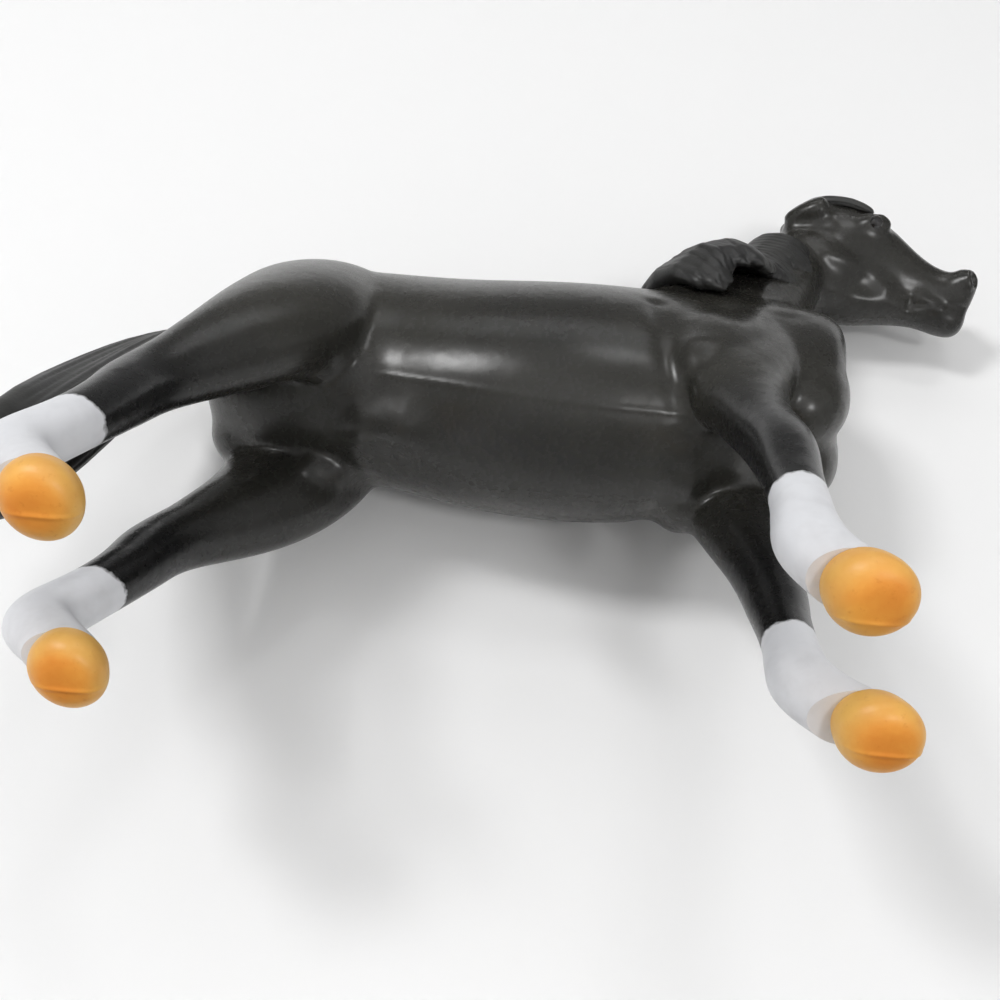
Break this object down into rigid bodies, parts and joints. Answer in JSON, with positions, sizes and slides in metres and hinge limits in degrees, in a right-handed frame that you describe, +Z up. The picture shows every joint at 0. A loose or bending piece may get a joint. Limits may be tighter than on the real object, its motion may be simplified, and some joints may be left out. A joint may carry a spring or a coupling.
{
  "type": "toy farm animal figure",
  "caption": "Solid plastic toy horse that stands on its hooves, its neck leaning to its right; black with white socks and tan hooves, for play farms and small scenes.",
  "frame": {"origin": "on the ground plane, under the middle of the figure's box", "axes": "+X towards the muzzle, +Y to the horse's left, +Z up"},
  "size_m": [0.1454, 0.0476, 0.1232],
  "materials": {
    "black_body": "semi-gloss",
    "black_hair": "satin",
    "white_sock": "satin",
    "tan_hoof": "satin",
    "gloss_eye": "gloss"
  },
  "bodies": {
    "root": {"torso": "black_body", "head_and_neck": "black_body", "mane": "black_hair", "forelock": "black_hair", "tail": "black_hair", "right_eye": "gloss_eye", "left_eye": "gloss_eye", "right_fore_leg": "black_body", "left_fore_leg": "black_body", "right_hind_leg": "black_body", "left_hind_leg": "black_body", "right_fore_sock": "white_sock", "left_fore_sock": "white_sock", "right_hind_sock": "white_sock", "left_hind_sock": "white_sock", "right_fore_hoof": "tan_hoof", "left_fore_hoof": "tan_hoof", "right_hind_hoof": "tan_hoof", "left_hind_hoof": "tan_hoof"}
  },
  "joints": []
}
